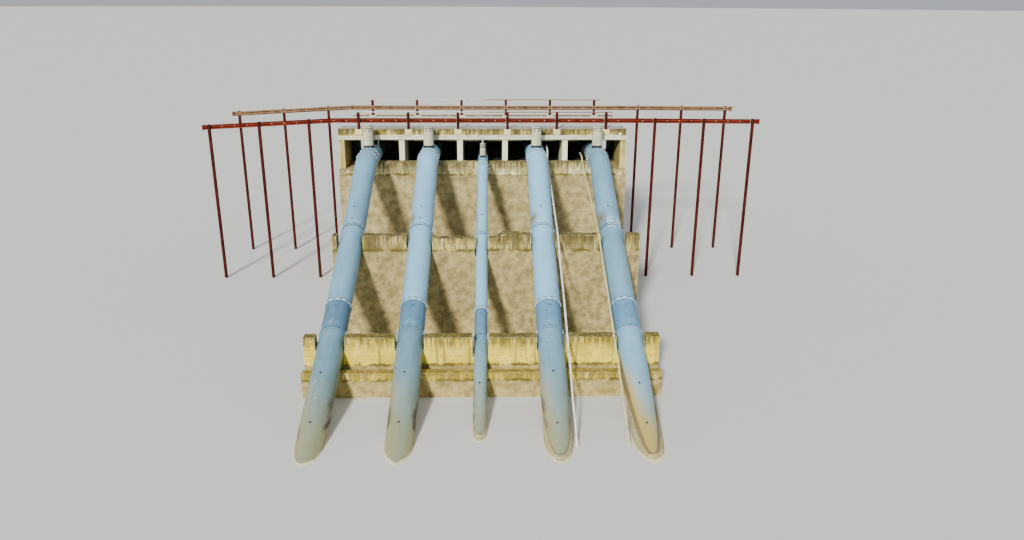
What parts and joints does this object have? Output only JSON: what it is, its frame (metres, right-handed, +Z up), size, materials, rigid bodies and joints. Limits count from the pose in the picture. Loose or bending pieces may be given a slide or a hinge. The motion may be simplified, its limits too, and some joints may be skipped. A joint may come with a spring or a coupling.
{
  "type": "pumping station discharge outfall",
  "caption": "Pumping station outfall: inclined steel discharge pipes with air vents, laid from a road culvert on a levee down notched concrete walls to the water.",
  "frame": {"origin": "at the water's level, under the middle of the whole", "axes": "+X along the levee's crest, to the right seen from the river; +Y from the river towards the land; +Z up"},
  "size_m": [33.9, 29.0186, 10.55],
  "materials": {
    "pipe_paint": "satin",
    "spool_paint": "satin",
    "vent_paint": "satin",
    "conduit_paint": "satin",
    "weathering_steel": "matte",
    "concrete": "matte",
    "deck_concrete": "matte"
  },
  "bodies": {
    "root": {"deck_slab": "deck_concrete", "edge_beam_river": "deck_concrete", "edge_beam_land": "deck_concrete", "abutment_left": "concrete", "abutment_right": "concrete", "culvert_pier_1": "concrete", "culvert_pier_2": "concrete", "culvert_pier_3": "concrete", "culvert_pier_4": "concrete", "culvert_floor": "concrete", "sill_wall_river": "concrete", "sill_wall_land": "concrete", "middle_wall": "concrete", "lower_wall": "concrete", "toe_beam": "concrete", "pipe_1_head": "pipe_paint", "pipe_1_middle": "pipe_paint", "pipe_1_spool": "spool_paint", "pipe_1_foot": "pipe_paint", "pipe_1_vent": "vent_paint", "pipe_2_head": "pipe_paint", "pipe_2_middle": "pipe_paint", "pipe_2_spool": "spool_paint", "pipe_2_foot": "pipe_paint", "pipe_2_vent": "vent_paint", "pipe_3_head": "pipe_paint", "pipe_3_middle": "pipe_paint", "pipe_3_spool": "spool_paint", "pipe_3_foot": "pipe_paint", "pipe_3_vent": "vent_paint", "pipe_4_head": "pipe_paint", "pipe_4_middle": "pipe_paint", "pipe_4_spool": "spool_paint", "pipe_4_foot": "pipe_paint", "pipe_4_vent": "vent_paint", "pipe_5_head": "pipe_paint", "pipe_5_middle": "pipe_paint", "pipe_5_spool": "spool_paint", "pipe_5_foot": "pipe_paint", "pipe_5_vent": "vent_paint", "edge_conduits": "conduit_paint", "slope_conduit_4": "conduit_paint", "slope_conduit_5": "conduit_paint", "barrier_river_deck": "weathering_steel", "barrier_river_left": "weathering_steel", "barrier_river_right": "weathering_steel", "barrier_land_deck": "weathering_steel", "barrier_land_left": "weathering_steel", "barrier_land_right": "weathering_steel"}
  },
  "joints": []
}
